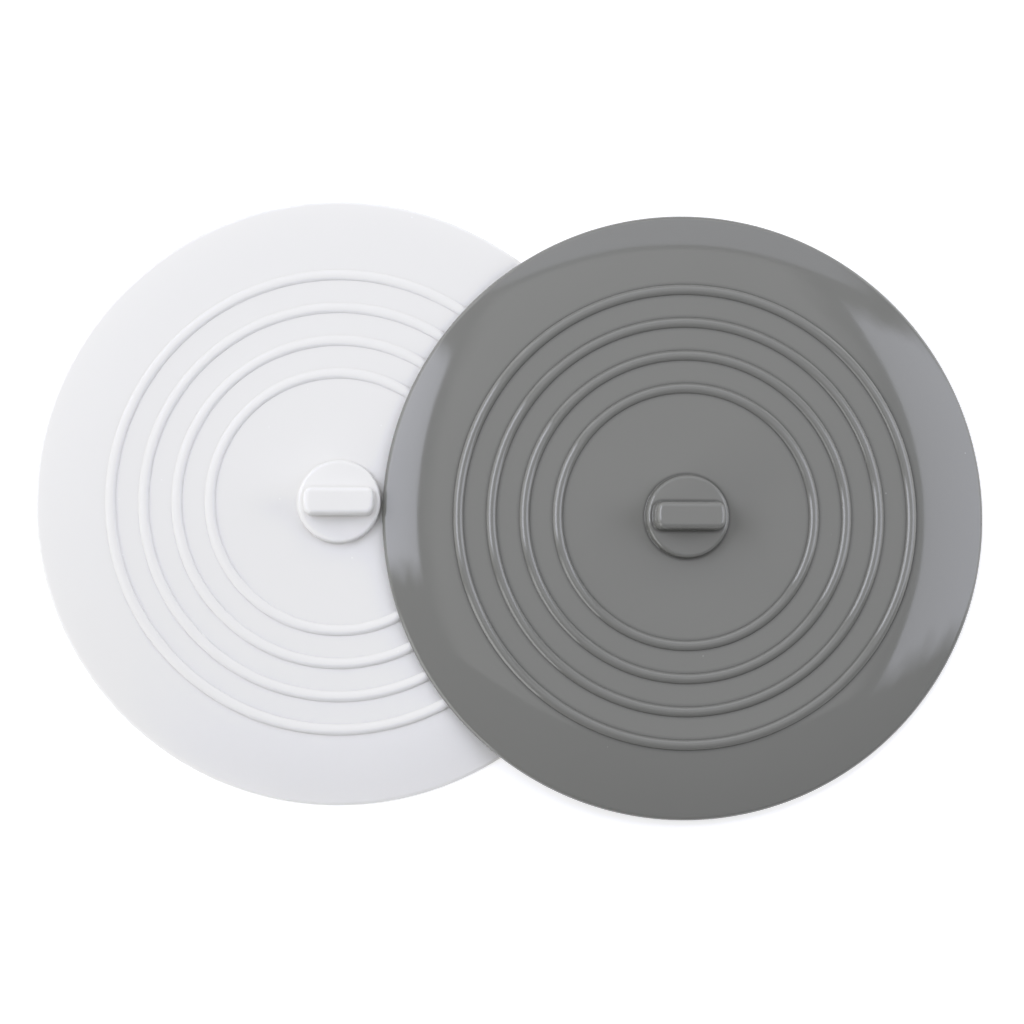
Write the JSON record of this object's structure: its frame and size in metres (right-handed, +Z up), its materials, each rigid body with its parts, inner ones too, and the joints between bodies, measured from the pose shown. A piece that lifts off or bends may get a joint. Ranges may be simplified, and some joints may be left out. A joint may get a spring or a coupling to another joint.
{
  "type": "drain stopper",
  "caption": "Flat round silicone drain stoppers with concentric raised rings and a central grip bar; the grey stopper lies over the edge of the white one and lifts off.",
  "frame": {"origin": "centre of the white stopper's flat underside", "axes": "+Z up, out of the white stopper's top face; +X from the white stopper towards the grey one, along both grip bars; +Y towards the back"},
  "size_m": [0.2393, 0.1561, 0.0171],
  "materials": {
    "white_silicone": "smooth satin moulded silicone",
    "grey_silicone": "smooth satin moulded silicone"
  },
  "bodies": {
    "white": {"white_stopper": "white_silicone"},
    "grey": {"grey_stopper": "grey_silicone"}
  },
  "joints": [
    {"name": "grey_lift", "type": "slide", "parent": "white", "child": "grey", "axis": [0, 0, 1], "range_m": [0, 0.1]}
  ]
}
